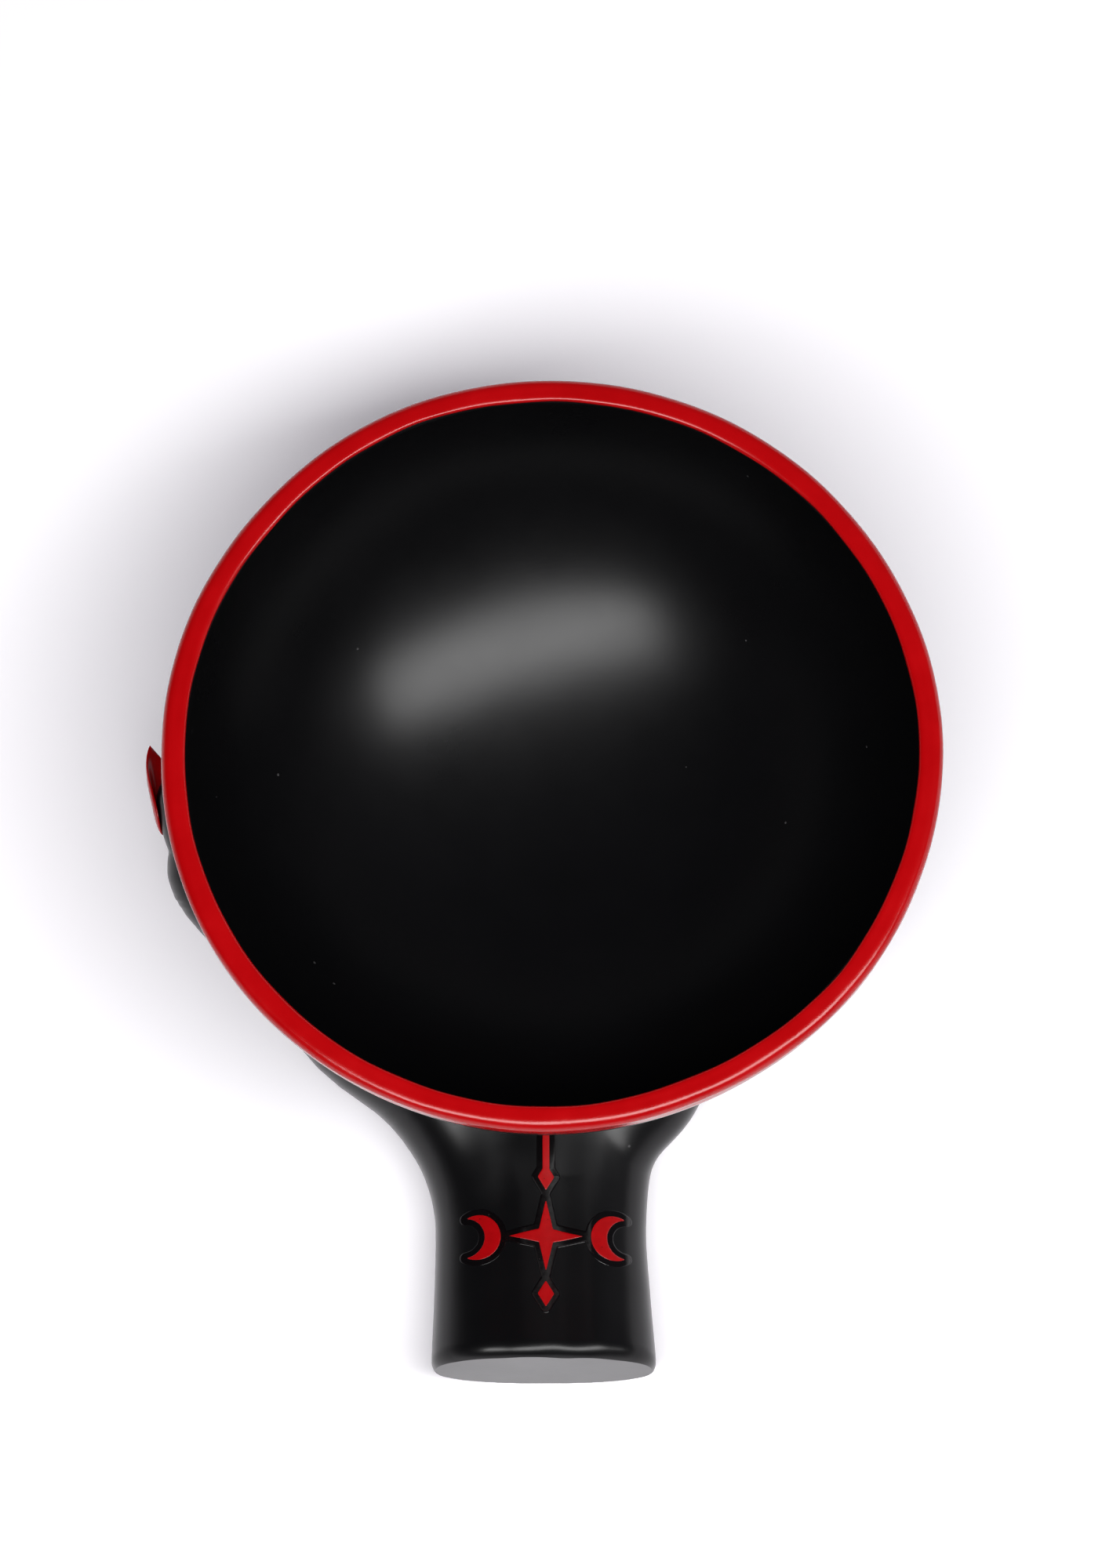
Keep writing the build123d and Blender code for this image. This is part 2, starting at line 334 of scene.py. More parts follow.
def kiln_specks_group():
    """Sparse specks of fixed size: 1 inside a speck and 0 elsewhere."""
    numbers = {"Scale": 400.0, "Size": 0.12, "Share": 0.1}
    tree, add_node, join = shader_group("kiln_specks", numbers, "Mask")
    given = add_node("NodeGroupInput").outputs
    cells = add_node("ShaderNodeTexVoronoi")
    join(add_node("ShaderNodeTexCoord").outputs["Object"], cells.inputs["Vector"])
    join(given["Scale"], cells.inputs["Scale"])
    chance = add_node("ShaderNodeSeparateColor")
    join(cells.outputs["Color"], chance.inputs[0])
    both = add_node("ShaderNodeMath", operation="MULTIPLY")
    inside, chosen = (cells.outputs["Distance"], "Size"), (chance.outputs[0], "Share")
    for (value, limit), end in zip((inside, chosen), both.inputs):
        below = add_node("ShaderNodeMath", operation="LESS_THAN")
        join(value, below.inputs[0])
        join(given[limit], below.inputs[1])
        join(below.outputs[0], end)
    join(both.outputs[0], add_node("NodeGroupOutput").inputs["Mask"])
    return tree


ripple_group = surface_ripple_group()
specks_group = kiln_specks_group()


def coat_material(name, tones, clouds, specks, speck_colour, sheen, specular, bump, ripple=None):
    """A fired coat: two tones in clouds, specks, and a sheen that follows the clouds where it has two values.

    Its bump is the coat's ripple where one is given, and else the clouds.
    """
    material = bpy.data.materials.new(name)
    add_node, join = shader_nodes(material)
    place = add_node("ShaderNodeTexCoord").outputs["Object"]
    cloud = add_node("ShaderNodeTexNoise", clouds)
    join(place, cloud.inputs["Vector"])
    tone = add_node("ShaderNodeMix", {"A": tones[0], "B": tones[-1]}, data_type="RGBA")
    join(cloud.outputs["Fac"], tone.inputs["Factor"])
    speck = add_node("ShaderNodeGroup", specks, node_tree=specks_group)
    colour = add_node("ShaderNodeMix", {"B": speck_colour}, data_type="RGBA")
    join(tone.outputs["Result"], colour.inputs["A"])
    join(speck.outputs["Mask"], colour.inputs["Factor"])
    height = cloud.outputs["Fac"]
    if ripple:
        height = add_node("ShaderNodeGroup", ripple, node_tree=ripple_group).outputs["Height"]
    rough = add_node("ShaderNodeBump", bump)
    join(height, rough.inputs["Height"])
    surface = add_node("ShaderNodeBsdfPrincipled", {"Roughness": sheen[0], "Specular IOR Level": specular})
    if len(sheen) > 1:
        spread = {"From Min": 0.3, "From Max": 0.7, "To Min": sheen[0], "To Max": sheen[1]}
        roughness = add_node("ShaderNodeMapRange", spread)
        join(cloud.outputs["Fac"], roughness.inputs["Value"])
        join(roughness.outputs["Result"], surface.inputs["Roughness"])
    join(colour.outputs["Result"], surface.inputs["Base Color"])
    join(rough.outputs["Normal"], surface.inputs["Normal"])
    join(surface.outputs["BSDF"], add_node("ShaderNodeOutputMaterial").inputs["Surface"])
    return material


def black_glaze_material():
    """Satin black glaze: almost no colour, a soft sheen that varies slowly, and rare pale specks."""
    return coat_material(
        "satin_black_glaze", ((0.0018, 0.0018, 0.0021, 1), (0.0032, 0.0031, 0.0036, 1)),
        clouds={"Scale": 38.0, "Detail": 4.0, "Roughness": 0.6},
        specks={"Scale": 260.0, "Size": 0.075, "Share": 0.025}, speck_colour=(0.05, 0.048, 0.05, 1),
        sheen=(0.27, 0.31), specular=0.25, bump={"Strength": 0.5, "Distance": 0.00012},
        ripple={"Sag": 1.0, "Peel": 0.10, "Peel scale": 1100.0},
    )


black_glaze = black_glaze_material()
axis_gap = 1.0  # the turning path's own radius, taken off the profile
profile_mesh = bpy.data.meshes.new("bowl_profile")
profile_mesh.from_pydata(
    [((radius - axis_gap) * mm, -height * mm, 0) for radius, height in bowl_profile],  # the path looks down
    [(i, i + 1) for i in range(len(bowl_profile) - 1)], [],
)
profile = put_in_scene("bowl_profile", profile_mesh)
bowl = plain_mesh_of(profile, turning_tree(), "turned_bowl", {
    "Segments": bowl_segments, "Axis gap": axis_gap * mm, "Lip height": lip_height * mm,
    "Depth": bowl_outer_depth * mm, "Wobble": mm, "Glaze": black_glaze,
})
outward_faces(bowl)
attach(bowl, "root")
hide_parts("bowl_shell")

# ================================================================ red lip band
# Red enamel brushed over the black lip by hand: a coat about a third of a millimetre thick that pools at its
# edges, which wander a little where the brush lifted.
band_inside_reach, band_outside_reach = 2.9, 6.4  # down the wall each way from the middle of the lip
band_thickness = 0.3
band_sink = 0.15
band_turns, band_across = 420, 26
lip_reach = 14.0  # how far below the lip the profile is followed

lip_part = bowl_profile[bowl_profile[:, 1] > lip_height - lip_reach]
lip_steps = np.hypot(*np.diff(lip_part, axis=0).T)
lip_length = np.concatenate([[0], np.cumsum(lip_steps)])
lip_middle = np.argmin(np.hypot(lip_part[:, 0] - (bowl_radius - bowl_wall / 2), lip_part[:, 1] - lip_height))
lip_length -= lip_length[lip_middle]
lip_tangent = np.gradient(lip_part, lip_length, axis=0)
lip_tangent /= np.linalg.norm(lip_tangent, axis=1)[:, None]


def brush_wander(azimuth, seed, sizes):
    """How far a brushed edge strays, as waves of given size and number of turns."""
    phases = np.random.default_rng(seed).uniform(0, 2 * math.pi, len(sizes))
    return sum(size * np.sin(turns * azimuth + phase) for (size, turns), phase in zip(sizes, phases))


def smooth_piece(name, points, faces, material):
    """A closed piece with a smooth skin, made from points in millimetres."""
    mesh = bpy.data.meshes.new(name)
    mesh.from_pydata((points * mm).tolist(), [], faces)
    mesh.polygons.foreach_set("use_smooth", [True] * len(faces))
    mesh.materials.append(material)
    piece = put_in_scene(name, mesh)
    outward_faces(piece)
    return piece


def enamel_band(material):
    """The band as a closed ring: its coat outside, and its underside just inside the lip."""
    azimuth = np.linspace(0, 2 * math.pi, band_turns, endpoint=False)[:, None]
    inner_waves = ((0.16, 2), (0.12, 5), (0.10, 9), (0.09, 17), (0.06, 31))
    outer_waves = ((0.4, 3), (0.3, 7), (0.2, 13), (0.12, 29))
    inner = band_inside_reach + brush_wander(azimuth, 3, inner_waves)
    outer = band_outside_reach + brush_wander(azimuth, 5, outer_waves)
    across = np.linspace(0, 1, band_across)[None, :]
    along_lip = -inner + (inner + outer) * across
    radius, height, tangent_r, tangent_z = (
        np.interp(along_lip, lip_length, values)
        for values in (lip_part[:, 0], lip_part[:, 1], lip_tangent[:, 0], lip_tangent[:, 1])
    )
    edge = np.abs(2 * across - 1)
    body = 1 - edge**10
    pooled = 0.25 * np.exp(-(((edge - 0.90) / 0.06) ** 2))
    ridges = 0.10 * np.sin(9 * azimuth + 14 * across) + 0.07 * np.sin(23 * azimuth - 9 * across)
    lift = band_thickness * (body + pooled * body + ridges * body)
    coat_r, under_r = radius - tangent_z * lift, radius + tangent_z * band_sink
    coat_z, under_z = height + tangent_r * lift, height - tangent_r * band_sink
    ring_r, ring_z = np.hstack([coat_r, under_r[:, ::-1]]), np.hstack([coat_z, under_z[:, ::-1]])
    ring_r = ring_r + out_of_round(azimuth, 1 - (lip_height - ring_z) / bowl_outer_depth)
    count = ring_r.shape[1]
    points = np.stack([ring_r * np.cos(azimuth), ring_r * np.sin(azimuth), ring_z], 2).reshape(-1, 3)
    faces = []
    for i in range(band_turns):
        for j in range(count):
            here, after = i * count, (i + 1) % band_turns * count
            faces.append((here + j, here + (j + 1) % count, after + (j + 1) % count, after + j))
    return smooth_piece("red_lip_band", points, faces, material)


def red_enamel_material():
    """Glossy red enamel over black: two reds that change in slow clouds, with brush drag and a few pinholes.
    """
    return coat_material(
        "brushed_red_enamel", ((0.33, 0.0003, 0.0012, 1), (0.44, 0.0006, 0.0022, 1)),
        clouds={"Scale": 120.0, "Detail": 3.0, "Roughness": 0.55},
        specks={"Scale": 420.0, "Size": 0.10, "Share": 0.02}, speck_colour=(0.20, 0.001, 0.002, 1),
        sheen=(0.17, 0.24), specular=0.35, bump={"Strength": 0.6, "Distance": 0.00025},
        ripple={"Sag": 1.0, "Peel": 0.18, "Peel scale": 620.0},
    )


red_enamel = red_enamel_material()
lip_band = enamel_band(red_enamel)
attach(lip_band, "root")
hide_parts("rim_band")

# ================================================================ hand
# A left hand cast in the same stoneware, palm up: wrist and palm lie on the table, and the thumb and four
# fingers rise along the bowl's wall. It is carved as one distance field, so that the muscles run into each
# other, then cut into its castings. Slip makes a small fillet wherever it meets the bowl.
wrist_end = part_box("wrist_end_cap")[0].y / mm
cap_joint = wrist_end + 4.0
slip_fillet = 2.4
digit_sink = 0.8  # how far the digits are pressed past the bowl's surface
hidden_in_wall = 0.4  # the skin runs this far into the bowl's wall
skin_inset = 0.02
end_run_out = 4.2  # over the top, the wrist's skin turns in over this length before its flat face
end_past_face = 0.9
muscle_blend, digit_blend, palm_blend = 7.0, 2.4, 6.5  # how widely each runs into its neighbours
carving_grid = 0.75
carving_low, carving_high = (-82.0, wrist_end - 3, -3.0), (40.0, 84.0, 62.0)


def unit(vector):
    """The vector's direction, with a length of one."""
    return vector / np.linalg.norm(vector)


def on_wall(azimuth, climb, stand_off):
    """A point stand_off outside the bowl's wall, at an azimuth and an angle up the wall in degrees."""
    turn, rise = math.radians(azimuth), math.radians(climb)
    normal = unit(np.array([math.sin(rise) / bowl_radius, -math.cos(rise) / bowl_outer_depth]))
    out = bowl_radius * math.sin(rise) + stand_off * normal[0]
    up = lip_height - bowl_outer_depth * math.cos(rise) + stand_off * normal[1]
    return np.array([out * math.cos(turn), out * math.sin(turn), up])


def smooth_union(first, second, blend):
    """The nearer of two distances, run together over a width."""
    overlap = np.maximum(blend - np.abs(first - second), 0) / blend
    return np.minimum(first, second) - overlap * overlap * blend / 4


def rounded_overlap(first, second, radius):
    """Distance to where two shapes overlap, the edge between them rounded."""
    return np.minimum(np.maximum(first, second), -radius) + np.hypot(
        np.maximum(first + radius, 0), np.maximum(second + radius, 0)
    )


def cone_distance(points, start, end, start_radius, end_radius):
    """Distance to a tapering limb with round ends."""
    axis = end - start
    length2 = float(axis @ axis)
    taper = start_radius - end_radius
    side2 = length2 - taper * taper
    off = points - start.astype(np.float32)
    along = off @ axis.astype(np.float32)
    beyond = along - length2
    across2 = ((off * np.float32(length2) - along[:, None] * axis.astype(np.float32)) ** 2).sum(1)
    along2, beyond2 = along * along * length2, beyond * beyond * length2
    limit = np.sign(taper) * taper * taper * across2
    inside = (np.sqrt(across2 * side2 / length2) + along * taper) / length2 - start_radius
    at_end = np.sqrt(across2 + beyond2) / length2 - end_radius
    at_start = np.sqrt(across2 + along2) / length2 - start_radius
    result = np.where(np.sign(along) * side2 * along2 < limit, at_start, inside)
    return np.where(np.sign(beyond) * side2 * beyond2 > limit, at_end, result)


def egg_distance(points, centre, axes, radii):
    """Distance to an ellipsoid whose axes are the rows of a matrix."""
    local = (points - np.asarray(centre, np.float32)) @ np.asarray(axes, np.float32).T
    near = np.sqrt(((local / radii) ** 2).sum(1)) + 1e-6
    slope = np.sqrt(((local / np.square(radii)) ** 2).sum(1)) + 1e-6
    return near * (near - 1) / slope


def bowl_distance(points):
    """Distance outside the bowl's wall, negative inside."""
    upright = np.eye(3)
    return egg_distance(points, (0, 0, lip_height), upright, (bowl_radius, bowl_radius, bowl_outer_depth))


# Palm and wrist: y, middle x, half width, lowest and highest z, and how square the section is.
palm_sections = np.array([
    (-130.0, -1.4, 22.2, -0.4, 31.0, 2.3),
    (-108.5, -1.4, 22.2, -0.4, 30.6, 2.3),
    (-94.0, -1.7, 21.4, -0.9, 28.4, 2.2),
    (-79.0, -2.0, 20.9, -1.2, 27.2, 2.15),
    (-66.0, -1.6, 22.0, -1.4, 27.6, 2.2),
    (-52.0, 0.2, 26.2, -1.6, 28.8, 2.3),
    (-36.0, 1.6, 29.6, -1.8, 29.4, 2.4),
    (-14.0, 2.2, 31.0, -1.8, 26.5, 2.5),
    (4.0, 1.8, 29.4, -1.2, 21.0, 2.5),
    (16.0, 1.5, 26.0, 0.6, 16.5, 2.4),
])
palm_front = 7.0
palm_rounding = 7.0


def section_value(y, column):
    """A palm section's value at any y, through the listed ones on a smooth curve."""
    known_y, known = palm_sections[:, 0], palm_sections[:, column]
    slope = np.gradient(known, known_y)
    i = np.clip(np.searchsorted(known_y, y) - 1, 0, len(known_y) - 2)
    span = known_y[i + 1] - known_y[i]
    t = np.clip((y - known_y[i]) / span, 0, 1)
    rise = known[i + 1] - known[i]
    a, b = slope[i] * span - rise, rise - slope[i + 1] * span
    return known[i] + t * rise + t * (1 - t) * ((1 - t) * a + t * b)


def palm_distance(points):
    """Distance to the palm and wrist, closed with a round edge in front and left running on at the wrist."""
    x, y, z = points.T
    middle, half_width, low, high, square = (section_value(y, c).astype(np.float32) for c in range(1, 6))
    half_height = (high - low) / 2
    across = np.abs(x - middle) / half_width
    up = np.abs(z - (high + low) / 2) / half_height
    near = (across**square + up**square) ** (1 / square) + 1e-6
    slope = np.hypot(across / half_width, up / half_height) / near + 1e-6
    section = (near - 1) / slope * np.clip(near, 0.4, 1)
    section = np.where(near < 0.5, -half_height * (1 - near), section)
    return rounded_overlap(section, y - palm_front, palm_rounding)


def digit_points(name):
    """A digit's joints as points and radii, from its root in the palm to its tip."""
    roots, joints = digit_joints[name]
    points = [np.array(root[:3]) for root in roots]
    points += [on_wall(azimuth, climb, radius - digit_sink) for azimuth, climb, radius in joints]
    return np.array(points), np.array([place[-1] for place in roots + joints])


def smooth_line(values, steps=4):
    """The same values with more between them, along a curve that passes through each."""
    padded = np.concatenate([[2 * values[0] - values[1]], values, [2 * values[-1] - values[-2]]])
    line = []
    for before, start, end, after in zip(padded, padded[1:], padded[2:], padded[3:]):
        for t in np.arange(steps) / steps:
            bend = (2 * before - 5 * start + 4 * end - after) * t * t
            twist = (3 * (start - end) + after - before) * t**3
            line.append(start + 0.5 * ((end - before) * t + bend + twist))
    return np.array([*line, values[-1]])


def digit_distance(points, name, far=8.0):
    """Distance to one digit, worked out only near it."""
    places, radii = (smooth_line(values) for values in digit_points(name))
    result = np.full(len(points), far, np.float32)
    for start, end, start_radius, end_radius in zip(places, places[1:], radii, radii[1:]):
        reach = max(start_radius, end_radius) + far
        low, high = np.minimum(start, end) - reach, np.maximum(start, end) + reach
        near = np.flatnonzero(((points > low) & (points < high)).all(1))
        if len(near):
            limb = cone_distance(points[near], start, end, start_radius, end_radius)
            result[near] = np.minimum(result[near], limb)
    return result


# Each digit: where it starts in the palm, as x, y, z and a radius, then places against the bowl, as azimuth,
# climb and radius. Joints are a little thicker than the bones between them.
digit_joints = {
    "thumb": (
        [(-12.0, -67.0, 13.5, 10.6), (-23.5, -51.0, 17.5, 12.0), (-38.0, -41.5, 24.0, 11.4)],
        [(212, 45.0, 9.4), (203, 51.5, 8.0), (193.5, 57.0, 8.2), (189, 59.6, 6.6), (185.5, 61.6, 6.3),
         (181.5, 63.0, 6.2)],
    ),
    "index_finger": (
        [(-21.0, -1.0, 9.2, 8.6), (-23.0, 14.0, 12.2, 7.3)],
        [(121, 30.5, 7.2), (120.4, 37.5, 6.3), (120, 45.0, 6.5), (119.6, 51.0, 5.9), (119.2, 56.0, 4.7)],
    ),
    "middle_finger": (
        [(-6.8, 4.0, 9.2, 8.9), (-6.6, 20.0, 12.6, 7.5)],
        [(98, 32.0, 7.5), (97.5, 40.0, 6.5), (97, 47.5, 6.7), (96.5, 54.0, 6.1), (96.0, 59.0, 4.8)],
    ),
    "ring_finger": (
        [(8.6, 3.0, 9.2, 8.7), (9.6, 18.5, 12.2, 7.1)],
        [(75.5, 31.0, 7.1), (75.3, 38.5, 6.2), (75, 46.0, 6.4), (75.5, 52.0, 5.8), (76, 57.0, 4.6)],
    ),
    "little_finger": (
        [(22.6, -2.0, 9.0, 8.0), (25.5, 9.5, 11.4, 6.5)],
        [(49.5, 26.0, 6.3), (50.6, 32.5, 5.5), (51.5, 39.0, 5.7), (52.6, 44.5, 5.1), (53.6, 49.0, 4.1)],
    ),
}
digit_names = list(digit_joints)
# The digits' castings part past the webs, at this point of each digit's smooth line.
digit_parting = {"thumb": 10, "index_finger": 10, "middle_finger": 9, "ring_finger": 8, "little_finger": 11}
parting_reach = 2.2  # in radii of the digit there
flat_cut_corners = 9  # a face with this many corners or more is one of the flat cuts


def muscle_distance(points):
    """The palm with the ball of the thumb and the heel of the hand laid on it."""
    ball_axis = unit(np.array([-0.66, 0.72, 0.22]))
    side = unit(np.cross(ball_axis, (0, 0, 1)))
    ball_axes = np.stack([ball_axis, side, np.cross(side, ball_axis)])
    ball = egg_distance(points, (-19.5, -45.0, 18.0), ball_axes, (23.0, 13.5, 12.5))
    heel = egg_distance(points, (19.5, -40.0, 17.0), np.eye(3), (13.0, 23.0, 12.5))
    return smooth_union(smooth_union(palm_distance(points), ball, muscle_blend), heel, muscle_blend)


def wrist_cords(points):
    """How far the skin sinks between the two cords inside the wrist, and by the wrist's bones."""
    x, y, z = points.T
    upper = np.clip((z - 15) / 8, 0, 1)
    along = np.clip((-58 - y) / 14, 0, 1)
    groove = 0.85 * np.exp(-(((x - 2.6) / 3.6) ** 2))
    beside = 0.35 * np.exp(-(((x + 9.5) / 3.0) ** 2)) + 0.25 * np.exp(-(((x - 12.5) / 3.0) ** 2))
    return upper * along * (groove + beside)


def knuckle_creases(points):
    """Shallow creases across the backs of the finger joints."""
    depth = np.zeros(len(points), np.float32)
    for name in digit_names:
        places, radii = digit_points(name)
        for joint in (5,) if name == "thumb" else (2, 4):
            radius = radii[joint]
            along = unit(places[joint + 1] - places[joint - 1])
            off = points - places[joint].astype(np.float32)
            near = np.linalg.norm(off, axis=1) < radius * 1.7
            step = off[near] @ along.astype(np.float32)
            back = np.clip(bowl_distance(points[near]) / radius - 1.25, 0, 0.5) * 2
            for shift, weight in ((-1.7, 0.10), (0.0, 0.20), (1.6, 0.12)):
                depth[near] += weight * back * np.exp(-(((step - shift) / 0.42) ** 2))
    return depth


def hand_distance(points):
    """Distance to the whole hand, fillet of slip included, cut just inside the bowl's wall."""
    fingers = None
    for name in digit_names:
        digit = digit_distance(points, name)
        fingers = digit if fingers is None else smooth_union(fingers, digit, digit_blend)
    shape = smooth_union(muscle_distance(points), fingers, palm_blend)
    shape = shape + wrist_cords(points) + knuckle_creases(points)
    bowl_off = bowl_distance(points)
    outside = np.maximum(bowl_off, 0)
    fillet = np.maximum(slip_fillet, np.minimum(shape, outside)) - np.hypot(
        np.maximum(slip_fillet - shape, 0), np.maximum(slip_fillet - outside, 0)
    )
    skin = end_rounding(fillet + skin_inset, points[:, 1], points[:, 2])
    return np.maximum(skin, -bowl_off - hidden_in_wall)


def end_rounding(shape, y, z):
    """Rounds the wrist's end towards a plane a little past its face, less low down, before it is cut flat."""
    run_out = 0.5 + (end_run_out - 0.5) * np.clip((z - 8) / 16, 0, 1)
    past = wrist_end - end_past_face * run_out / end_run_out - y
    return rounded_overlap(shape, past, run_out)


def field_slope(points, reach=0.05):
    """The field's slope at points, which is the skin's outward direction."""
    slope = np.empty_like(points)
    for axis in range(3):
        step = np.zeros(3, np.float32)
        step[axis] = reach
        slope[:, axis] = hand_distance(points + step) - hand_distance(points - step)
    return slope / (2 * reach)


def carve_hand():
    """The hand's skin as points in millimetres and faces: a grid search, each point then drawn onto it."""
    low = np.array(carving_low)
    counts = np.ceil((carving_high - low) / carving_grid).astype(int)
    lines = [low[a] + carving_grid * np.arange(counts[a]) for a in range(3)]
    field = np.empty(counts, np.float32)
    for i, x in enumerate(lines[0]):
        y, z = np.meshgrid(lines[1], lines[2], indexing="ij")
        slab = np.stack([np.full(y.size, x), y.ravel(), z.ravel()], 1).astype(np.float32)
        field[i] = hand_distance(slab).reshape(y.shape)
    grid = openvdb.FloatGrid(4.0)
    grid.copyFromArray(np.clip(field, -4, 4))
    points, quads = grid.convertToQuads(isovalue=0.0)
    points = (points * carving_grid + low).astype(np.float32)
    for _ in range(3):
        slope = field_slope(points)
        push = hand_distance(points)[:, None] * slope / np.maximum((slope**2).sum(1), 0.25)[:, None]
        loose = bowl_distance(points) > 0.3
        points[loose] -= np.clip(push, -0.3, 0.3)[loose]
    return points, quads


def close_holes(shape):
    """Closes every open edge loop of a shape with a flat face and returns the new faces."""
    open_edges = [edge for edge in shape.edges if edge.is_boundary]
    return bmesh.ops.holes_fill(shape, edges=open_edges, sides=0)["faces"]


def everything(shape):
    """All the points, edges and faces of a shape."""
    return shape.verts[:] + shape.edges[:] + shape.faces[:]


def fence(shape, faces, place, normal):
    """Cuts some faces of a shape along a plane and returns the edges along the cut."""
    some = {part for face in faces for part in (face, *face.edges, *face.verts)}
    cut = bmesh.ops.bisect_plane(shape, geom=list(some), plane_co=place, plane_no=normal, dist=1e-4)
    return {part for part in cut["geom_cut"] if isinstance(part, bmesh.types.BMEdge)}


def faces_beyond(seed, fences):
    """Every face that can be reached from one face without crossing a fence."""
    found, waiting = {seed}, [seed]
    while waiting:
        for edge in waiting.pop().edges:
            if edge not in fences:
                for face in edge.link_faces:
                    if face not in found:
                        found.add(face)
                        waiting.append(face)
    return found


def cast_pieces():
    """The carved hand, cut flat at the wrist and under the palm, and parted where its castings were luted."""
    points, quads = carve_hand()
    shape = bmesh.new()
    corners = [shape.verts.new(point) for point in points.tolist()]
    for quad in quads[:, ::-1].tolist():
        shape.faces.new([corners[i] for i in quad])
    for place, normal in (((0, wrist_end, 0), (0, -1, 0)), ((0, 0, 0), (0, 0, -1))):
        bmesh.ops.bisect_plane(
            shape, geom=everything(shape), plane_co=place, plane_no=normal, clear_outer=True, dist=1e-4
        )
        for face in close_holes(shape):
            face.material_index = 1 if normal[2] else 0
    for face in shape.faces:
        face.smooth = len(face.verts) < flat_cut_corners
    bmesh.ops.recalc_face_normals(shape, faces=shape.faces)

    marks = shape.faces.layers.int.new("casting")
    wrist_faces = [face for face in shape.faces if face.calc_center_bounds().y < cap_joint + 3]
    fence(shape, wrist_faces, (0, cap_joint, 0), (0, 1, 0))
    for face in shape.faces:
        face[marks] = 1 if face.calc_center_median().y < cap_joint else 0
    for number, name in enumerate(digit_names, 2):
        places, radii = (smooth_line(values) for values in digit_points(name))
        parting = digit_parting[name]
        base, reach = Vector(places[parting]), parting_reach * radii[parting]
        near = [face for face in shape.faces if (face.calc_center_median() - base).length < reach]
        ring = fence(shape, near, base, unit(places[parting + 1] - places[parting - 1]))
        tip = Vector(places[-1] + unit(places[-1] - places[-2]) * radii[-1])
        seed = min(shape.faces, key=lambda face: (face.calc_center_median() - tip).length_squared)
        for face in faces_beyond(seed, ring):
            face[marks] = number
    return shape


def bare_clay_material():
    """Unglazed stoneware on the ground foot: grey-brown, matt and finely gritty."""
    return coat_material(
        "bare_ground_clay", ((0.060, 0.048, 0.040, 1), (0.115, 0.095, 0.080, 1)),
        clouds={"Scale": 900.0, "Detail": 5.0},
        specks={"Scale": 700.0, "Size": 0.3, "Share": 0.2}, speck_colour=(0.025, 0.022, 0.020, 1),
        sheen=(0.85,), specular=0.5, bump={"Strength": 0.7, "Distance": 0.00015},
    )


bare_clay = bare_clay_material()
castings = cast_pieces()
casting_names = [
    ("carved_palm", ("palm_and_wrist", "luting_slip")),
    ("carved_wrist_end", ("wrist_end_cap",)),
    *((f"carved_{name}", (name,)) for name in digit_names),
]
for number, (name, replaced) in enumerate(casting_names):
    shape = castings.copy()
    layer = shape.faces.layers.int["casting"]
    bmesh.ops.delete(shape, geom=[face for face in shape.faces if face[layer] != number], context="FACES")
    for face in close_holes(shape):
        face.smooth = False
    bmesh.ops.recalc_face_normals(shape, faces=shape.faces)
    mesh = bpy.data.meshes.new(name)
    skin = field_slope(np.array([vertex.co[:] for vertex in shape.verts], np.float32))
    skin /= np.maximum(np.linalg.norm(skin, axis=1), 1e-6)[:, None]
    shape.to_mesh(mesh)
    shape.free()
    mesh.attributes.remove(mesh.attributes["casting"])
    normals = []
    for face in mesh.polygons:
        flat = tuple(face.normal)
        normals += [tuple(skin[i]) if face.use_smooth else flat for i in face.vertices]
    mesh.transform(Matrix.Scale(mm, 4))
    for material in (black_glaze, bare_clay):
        mesh.materials.append(material)
    mesh.normals_split_custom_set(normals)
    piece = put_in_scene(name, mesh)
    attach(piece, "root")
    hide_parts(*replaced)
castings.free()

# ================================================================ nails
# Long pointed nails laid on the backs of the fingertips, in relief: thin plates with soft edges, round at the
# quick and drawn out to a point, arched across and bent a little towards the bowl. Brushed with red enamel.
nail_behind, nail_ahead = 6.0, 12.0
nail_thickness, middle_rise = 0.9, 0.05
nail_rings, nail_spokes = 14, 72
glaze_over_tip = 0.55  # the nail lies this far out from the digit's own radius


